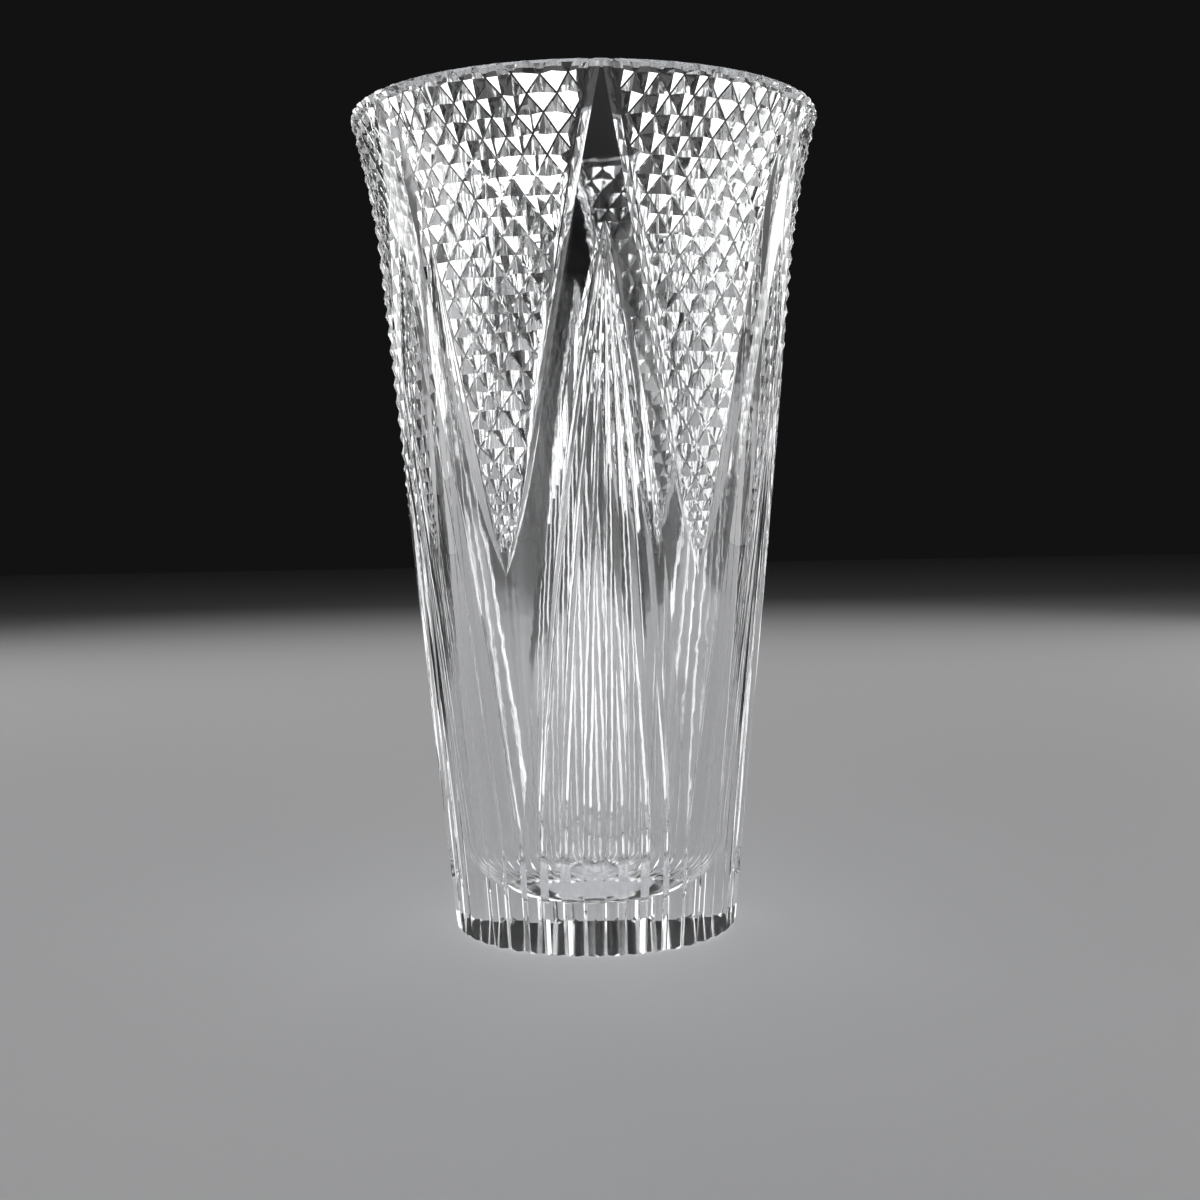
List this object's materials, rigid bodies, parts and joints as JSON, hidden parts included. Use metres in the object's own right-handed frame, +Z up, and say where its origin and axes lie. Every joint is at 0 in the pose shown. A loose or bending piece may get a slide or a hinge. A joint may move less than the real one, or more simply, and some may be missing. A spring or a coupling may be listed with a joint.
{
  "type": "cut crystal vase",
  "caption": "Tall flared flower vase of clear cut crystal, with diamond-cut panels under the rim, mitre grooves, fans of V flutes from the foot and a flat base.",
  "frame": {"origin": "centre of the flat underside of the foot", "axes": "+Z up along the vase's axis, from the foot to the rim; -Y is the front, through a point of the pattern on the rim"},
  "size_m": [0.1422, 0.1434, 0.25],
  "materials": {
    "lead_crystal": "clear colourless lead crystal, polished, with ground V cuts"
  },
  "bodies": {
    "root": {"vase_body": "lead_crystal"}
  },
  "joints": []
}
